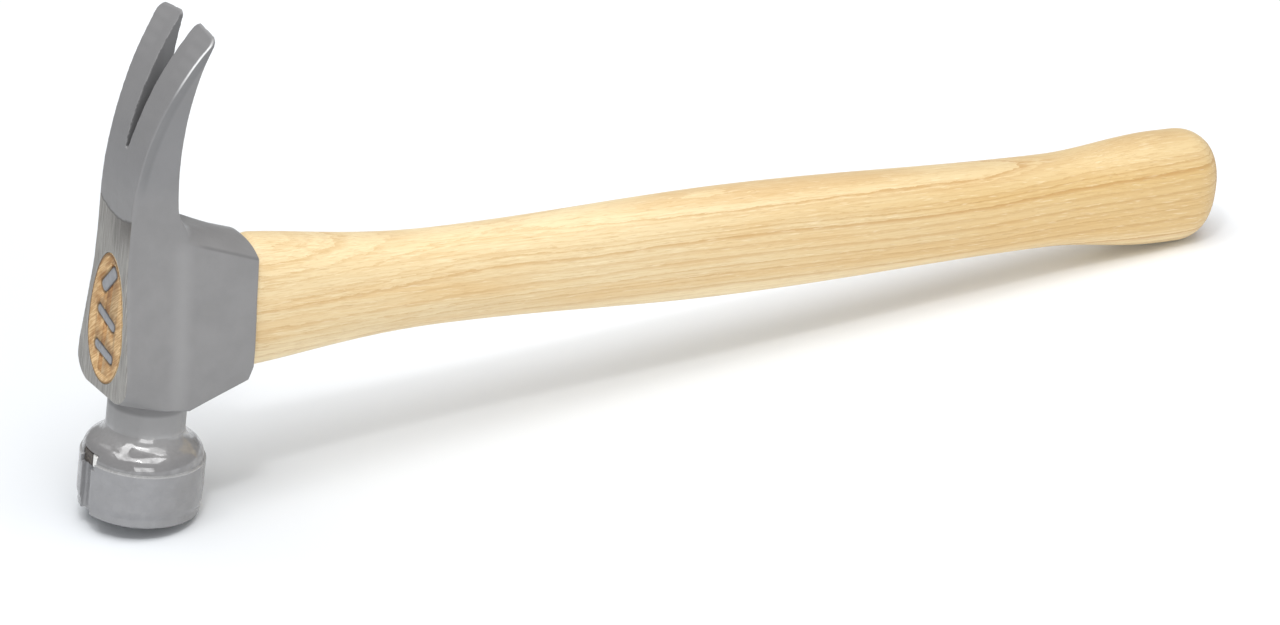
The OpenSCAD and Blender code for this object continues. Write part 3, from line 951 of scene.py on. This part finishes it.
def ground_depth(m):
    """Depth below the ragged upper edge of the ground face."""
    across = m.minus(m.y, GROUND_MID)
    edge = m.scaled(m.times(across, across), GROUND_BEND, GROUND_H)
    return m.minus(m.scaled(m.grain(0.5, 4), GROUND_RAGGED, edge), m.z)


def ground_colour(m, depth, scratches):
    """Steel with the streaks and scratches of grinding, and burnt dark near its upper edge."""
    streaks = m.grain((1, 2.6, 0.06), 4, 0.7)
    burnt = m.times(m.ramp(depth, 14, 0), m.ramp(m.y, 8, -9, 0.15, 0.8))
    return m.layered(m.blend(m.ramp(streaks, 0.3, 0.7), GROUND_DARK, GROUND_PALE),
                     (m.ramp(scratches, 0.4, 0.7, 0, 0.5), GROUND_SCRATCH),
                     (burnt, GROUND_BURNT))


def wear_and_highlights(m, curve):
    """Where the edges of the body and the neck are painted light, as wear and as highlights on their
    rounding, and a painted highlight along the ledge at the top of the bell's side.
    """
    near_edges = m.most(m.ramp(m.x, -12, -14.5), m.ramp(m.x, 22, 24.5), m.ramp(m.z, 46, 42))
    edges = m.times(m.band(m.z, *WORN_AND_HIGHLIGHT_BAND), near_edges, m.ramp(curve, 0.53, 0.59, 0, 0.5))
    return m.most(edges, m.ramp(m.off(m.z, BELL_H + 0.05), 0.45, 0.15, 0, 0.5))


def head_material():
    """Satin on the body and claws, glossy on the poll, and ground on the front face."""
    m = HammerNodes("head_steel")
    scratches = m.grain((1, 7, 0.12), 2)
    depth = ground_depth(m)
    front = m.times(m.ramp(m.x, *GROUND_X), m.ramp(m.z, *GROUND_FOOT))
    bare = m.times(m.ramp(depth, 0.0, 0.5), front)
    curve = m.add("NewGeometry", out="Pointiness")
    # Wear and painted highlights on the edges, and painted shade in concave places
    base = m.layered(paint_colour(m),
                     (bare, ground_colour(m, depth, scratches)),
                     (m.times(m.band(depth, *LIP_BAND), front, 0.6), GROUND_LIP),
                     (wear_and_highlights(m, curve), PAINT_WORN_AND_HIGHLIGHT),
                     (m.ramp(curve, 0.47, 0.42, 0, 0.3), PAINT_SHADE))

    gloss = m.ramp(m.z, *GLOSS_END)
    satin = m.times(m.grain(1.6, 2), m.ramp(m.z, *SATIN_START))
    rough = m.scaled(satin, SATIN_ROUGHER, m.scaled(gloss, -GLOSS_SMOOTHER, PAINT_ROUGH))
    patches = m.ramp(m.grain(0.3, 3), 0.38, 0.6, 0.25, 1)
    shiny = m.times(gloss, patches, m.ramp(m.z, BELL_H, BELL_H + 0.6, 0.25, 0.65))
    waves = m.times(m.grain(0.25, 2, 0.4), m.ramp(m.z, 38, 24, 0.3, 1))
    turning = m.times(m.grain((0.02, 0.02, 2.2), 2), m.ramp(m.z, 19, 18))
    bump = m.bumps((satin, SATIN_DEPTH), (waves, WAVE_DEPTH), (m.times(scratches, bare), SCRATCH_DEPTH),
                   (turning, TURNING_DEPTH))
    return m.finish(Base_Color=base, Roughness=rough, Metallic=m.times(bare, STEEL_METALLIC), Normal=bump,
                    Coat_Weight=m.times(m.minus(1.0, bare), m.plus(shiny, 0.08)),
                    Coat_Roughness=0.04, Coat_IOR=2.2)


# Materials of the wood: layers along the handle, and end grain

# The middle of the tree: its place across the cheeks, and its depth below the striking face
PITH_ACROSS = 20
PITH_DOWN = 90
# Distance from layer to layer, and how dark the faintest and the darkest of them are
WIDE_LAYERS = (3.1, 0.15, 0.75)
NARROW_LAYERS = (1.25, 0.05, 0.6)
# Distance from the tree's middle of the years that are darkest towards the butt
DARK_YEARS = 165.5
# Where the layers start to rise near the butt, and their slope there
BUTT_RISE_X = 290
BUTT_RISE = 0.06
# Depth of the fibres
FIBRE_DEPTH = 0.05
# Turn of the feathery grain against the handle, and of the saw marks across its ends
FEATHER_TURN = math.radians(9)
SAW_TURN = math.radians(40)


def pith_distance(m):
    """Distance from the middle of the tree. The layers run along the handle; they rise behind the head
    and near the butt, sway slowly, and ripple most near the head."""
    rise = m.scaled(m.past(m.x, BUTT_RISE_X), BUTT_RISE, m.ramp(m.x, 15, 125, 0, 5))
    sway = m.times(m.minus(m.grain((0.01, 0.03, 0.03), 1), 0.5), 4.0)
    ripple = m.minus(m.grain((0.1, 0.6, 0.9), 4, 0.65), 0.5)
    up = m.minus(m.plus(m.z, PITH_DOWN), m.plus(rise, sway))
    return m.plus(m.length(m.minus(m.y, PITH_ACROSS), up), m.times(ripple, m.ramp(m.x, 40, 170, 3.2, 1.4)))


def late_wood(m, radius, pitch, faintest, darkest):
    """How dark the late wood of each layer is, by where it lies in the layer and by the year."""
    count = m.over(radius, pitch)
    late = m.band(m.math("FRACT", count), 0.45, 0.97, 0.97, 1.0)
    year = m.add("TexWhiteNoise", {"W": m.math("FLOOR", count)}, noise_dimensions="1D")
    return m.times(late, m.ramp(year, 0.1, 1.0, faintest, darkest))


def long_grain(m, fibres, pores):
    """Colour along the handle: paler at its edges, most at its lower edge, where that is painted light over
    its shade; warmer to the butt, with layers, fibres and pores.
    """
    radius = pith_distance(m)
    layers = m.most(late_wood(m, radius, *WIDE_LAYERS), late_wood(m, radius, *NARROW_LAYERS))
    dark_years = m.times(m.ramp(m.off(radius, DARK_YEARS), 2.4, 0.8), m.ramp(m.x, 110, 230))
    line = m.blend(m.ramp(m.x, 120, 300), WOOD_LINE, WOOD_BUTT_LINE)
    off_axis = m.off(m.z, AXIS_H)
    # Paler edges; the lower one more, as painted light over its shade
    edge = m.ramp(off_axis, 8, 15, 0, m.ramp(m.z, AXIS_H, AXIS_H - 5, 0.4, 0.8))
    feathers = m.noise(m.stretch(m.place, (0.16, 1.6, 2.2), (0, FEATHER_TURN, 0)), 3, 0.6)
    clouds = m.grain((0.012, 0.07, 0.12), 3)
    return m.layered(m.blend(m.ramp(clouds, 0.35, 0.65), WOOD_PALE, WOOD_MID),
                     (m.ramp(m.x, 150, 375, 0.0, 0.7), WOOD_BUTT),
                     (edge, WOOD_EDGE_AND_PAINTED_LIGHT),
                     (m.times(layers, m.ramp(off_axis, 17, 10, 0.75, 1)), line),
                     (m.times(layers, dark_years), WOOD_DARK),
                     (m.ramp(fibres, 0.45, 0.8, 0.0, 0.5), WOOD_LINE),
                     (m.ramp(feathers, 0.5, 0.8, 0.0, 0.5), WOOD_LINE),
                     (m.ramp(m.grain((0.16, 1.6, 2.2), 2), 0.56, 0.74, 0.0, 0.4), WOOD_FLECK),
                     (pores, WOOD_PORE))


def from_wedge(m, wedge):
    """Distance to a wedge's outline on the front face, negative inside it."""
    c, s = math.cos(wedge.turn), math.sin(wedge.turn)
    up = m.minus(m.z, wedge.up)
    a = m.size(m.scaled(up, s, m.times(m.y, c)))
    b = m.size(m.scaled(up, c, m.times(m.y, -s)))
    outside = m.length(m.past(a, wedge.outer_t / 2 - wedge.corner),
                       m.past(b, wedge.width / 2 - wedge.corner))
    return m.minus(outside, wedge.corner)


def from_steel_wedges(m):
    """Distance to the nearest steel wedge's outline on the front face."""
    nearest, *others = (from_wedge(m, wedge) for wedge in STEEL_WEDGES)
    for other in others:
        nearest = m.math("MINIMUM", other, nearest)
    return nearest


def share_of_eye(m):
    """Distance from the middle of the eye, as a share of the way to its outline."""
    above = m.minus(m.z, EYE_MID_H)
    reach = m.scaled(m.math("GREATER_THAN", above, 0.0), EYE_UP - EYE_DOWN, EYE_DOWN)
    return m.length(m.over(m.y, EYE_W / 2), m.over(above, reach))


def end_grain(m):
    """Colour of cut ends: saw marks cross it, and in the eye it is brown round the steel wedges, with
    painted shade against them and against the eye."""
    crossed = m.stretch(m.place, (1, 1, 1), (SAW_TURN, 0, 0))
    marks = m.noise(m.stretch(crossed, (0.2, 0.2, 2.4)), 4)
    stains = m.noise(m.stretch(crossed, (0.1, 0.16, 0.4)), 3)
    gap = from_steel_wedges(m)
    in_eye = m.ramp(m.x, 0, -5)
    stained = m.times(m.ramp(stains, 0.32, 0.6), m.ramp(gap, 5.5, 0.5), in_eye, 0.7)
    # Painted shade in the gaps against the steel wedges and the eye
    gap_shade = m.most(m.ramp(gap, 0.75, 0.2, 0, 0.8), m.ramp(share_of_eye(m), 0.93, 0.975, 0, 0.7))
    return m.layered(m.blend(m.ramp(marks, 0.38, 0.62), END_PALE, END_TAN),
                     (stained, END_BROWN),
                     (m.times(gap_shade, in_eye), END_GAP_SHADE))


def wood_material(name, tint=WHITE):
    """Lacquered wood, which is rougher and without a coat on its cut ends."""
    m = HammerNodes(name)
    along = m.size(m.facing()[0])
    fibres = m.grain((0.03, 1.9, 1.9), 3, 0.65)
    pores = m.ramp(m.grain((0.2, 4.5, 4.5), 1), 0.64, 0.76, 0, 0.35)
    wood = m.blend(m.ramp(along, 0.4, 0.8), long_grain(m, fibres, pores), end_grain(m))
    return m.finish(Base_Color=m.blend(1.0, wood, tint, "MULTIPLY"),
                    Roughness=m.scaled(fibres, 0.15, m.ramp(along, 0.4, 0.8, 0.38, 0.7)),
                    Normal=m.bumps((m.minus(fibres, pores), FIBRE_DEPTH)),
                    Coat_Weight=m.ramp(along, 0.4, 0.8, 0.15, 0), Coat_Roughness=0.3)


# Materials of the steel wedges, the magnet and the floor

def wedge_steel_material():
    """Ground steel with dull spots, and painted shade along its rim."""
    m = HammerNodes("wedge_steel")
    streaks = m.grain((1, 2.4, 0.4), 3)
    spots = m.grain(0.6, 3)
    base = m.layered(m.blend(m.ramp(streaks, 0.3, 0.7), WEDGE_DARK, WEDGE_PALE),
                     (m.ramp(spots, 0.55, 0.75, 0, 0.5), WEDGE_SPOT),
                     (m.ramp(from_steel_wedges(m), -0.7, -0.15, 0, 0.7), WEDGE_RIM_SHADE))
    return m.finish(Base_Color=base, Roughness=m.scaled(spots, 0.2, 0.38), Metallic=STEEL_METALLIC,
                    Normal=m.bumps((streaks, 0.05)))


def magnet_material():
    """Dark grit, with a painted highlight on its end towards -Y and a line of painted shade before it."""
    m = HammerNodes("magnet")
    grit = m.grain(1.4, 4)
    base = m.layered(m.blend(m.ramp(grit, 0.35, 0.7), MAGNET_DARK, MAGNET_PALE),
                     (m.ramp(m.y, -0.9, -1.4), MAGNET_SHADE_LINE),
                     (m.ramp(m.y, -1.6, -1.8), MAGNET_END_HIGHLIGHT))
    return m.finish(Base_Color=base, Roughness=m.scaled(grit, 0.3, 0.22), Metallic=0.6,
                    Normal=m.bumps((grit, 0.12)))


def floor_material():
    """The floor is paler where it gets less light, so that all of it is evenly white."""
    m = Nodes("floor")
    place = m.add("TexCoord", out="Object")
    x, y, _ = m.parts(place)
    cloud = m.noise(m.stretch(place, (2, 2, 2)), 2)
    away = m.scaled(cloud, 0.03, m.scaled(y, 0.35, x))
    return m.finish(Base_Color=m.blend(m.ramp(away, 0.02, 0.38), FLOOR_LIT, FLOOR_DIM), Roughness=0.9)


# Pieces

# Grids of the head's and the magnet's meshes, in boxes whose odd hundredths keep them off flat faces
HEAD_STEP = 0.42
HEAD_BOX = ((-20, -20.02, -1.01), (28, 20.5, 157.5))
MAGNET_STEP = 0.25
MAGNET_BOX = (MAGNET_LOW_CORNER - 0.61, MAGNET_HIGH_CORNER + 0.6)
# Half of the floor's width, in metres
FLOOR_HALF = 12


def dress(piece, node, material):
    """Puts a piece in place of the CAD node of that name."""
    piece.data.materials.clear()
    piece.data.materials.append(material)
    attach(piece, "root")
    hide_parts(node)


def pocket_cutters(wedges):
    return [new_piece("cutter", *wedge.pocket()) for wedge in wedges]


def make_head():
    piece = new_piece("forged_head", *contour(head_shape, *HEAD_BOX, HEAD_STEP))
    dress(piece, "head", head_material())


def make_handle():
    piece = new_piece("hickory_handle", *loft(handle_rings()))
    carve(piece, *pocket_cutters(WEDGES.values()))
    dress(piece, "handle", wood_material("hickory"))


def make_wedges():
    steel = wedge_steel_material()
    for node, wedge in WEDGES.items():
        piece = new_piece(node + "_piece", *wedge.skin())
        if node == WOODEN:
            carve(piece, *pocket_cutters(STEEL_WEDGES))
            dress(piece, node, wood_material("wedge_wood", WEDGE_WOOD_TINT))
        else:
            dress(piece, node, steel)


def make_magnet():
    piece = new_piece("nail_starter_magnet", *contour(magnet_shape, *MAGNET_BOX, MAGNET_STEP))
    dress(piece, "nail_magnet", magnet_material())


def make_floor():
    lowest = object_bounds()[0][2]
    corners = [(x * FLOOR_HALF, y * FLOOR_HALF, lowest) for x, y in ((-1, -1), (1, -1), (1, 1), (-1, 1))]
    mesh = bpy.data.meshes.new("floor")
    mesh.from_pydata(corners, [], [(0, 1, 2, 3)])
    floor = bpy.data.objects.new("floor", mesh)
    bpy.context.scene.collection.objects.link(floor)
    floor.data.materials.append(floor_material())


# Studio and camera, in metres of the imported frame

# Strength of the light from all round, and the place to which the large lights point
WORLD_STRENGTH = 0.345
MIDDLE = (0.15, 0, 0.05)
# Each light's place and target, its width and depth, and its power in watts
LIGHTS = {
    "overhead": ((-0.05, -0.25, 1.3), MIDDLE, (1.6, 1.0), 17.3),
    "back": ((0.3, 0.75, 0.95), MIDDLE, (1.2, 0.5), 1.5),
    "front": ((-0.55, -1.4, 0.42), MIDDLE, (1.0, 0.7), 6.2),
    "glint": ((-0.25, -0.5, 1.2), (0, 0, 0), (0.16, 0.11), 2.6),
}
CAMERA_PLACE = to_frame([(-746.1, -1341.98, 708.02)])[0]
CAMERA_TARGET = (0.17354, 0, 0.02117)
CAMERA_ROLL = math.radians(0.42)
# Width of the sensor and focal length, in millimetres, and how far the camera sees, in metres
SENSOR_W = 36
FOCAL_LENGTH = 160.3
CLIP_END = 20


def aim(thing, place, target, roll=0.0):
    """Puts a camera or light at a place and turns it to a target."""
    thing.location = place
    turn = (Vector(target) - Vector(place)).to_track_quat("-Z", "Y").to_matrix()
    thing.rotation_euler = (turn @ Matrix.Rotation(roll, 3, "Z")).to_euler()


def make_light(name, place, target, size, power):
    light = bpy.data.lights.new(name, "AREA")
    light.shape = "RECTANGLE"
    light.size, light.size_y = size
    light.energy = power
    lamp = bpy.data.objects.new(name, light)
    bpy.context.scene.collection.objects.link(lamp)
    aim(lamp, place, target)


def make_studio():
    world = bpy.data.worlds.new("studio")
    world.use_nodes = True
    background = world.node_tree.nodes["Background"]
    background.inputs["Color"].default_value = WHITE
    background.inputs["Strength"].default_value = WORLD_STRENGTH
    bpy.context.scene.world = world
    bpy.context.scene.view_settings.view_transform = "Standard"
    for name, settings in LIGHTS.items():
        make_light(name, *settings)


def make_camera():
    lens = bpy.data.cameras.new("camera")
    lens.sensor_width = SENSOR_W
    lens.lens = FOCAL_LENGTH
    lens.clip_end = CLIP_END
    camera = bpy.data.objects.new("camera", lens)
    bpy.context.scene.collection.objects.link(camera)
    aim(camera, CAMERA_PLACE, CAMERA_TARGET, CAMERA_ROLL)
    bpy.context.scene.camera = camera


make_head()
make_handle()
make_wedges()
make_magnet()
make_floor()
make_studio()
make_camera()
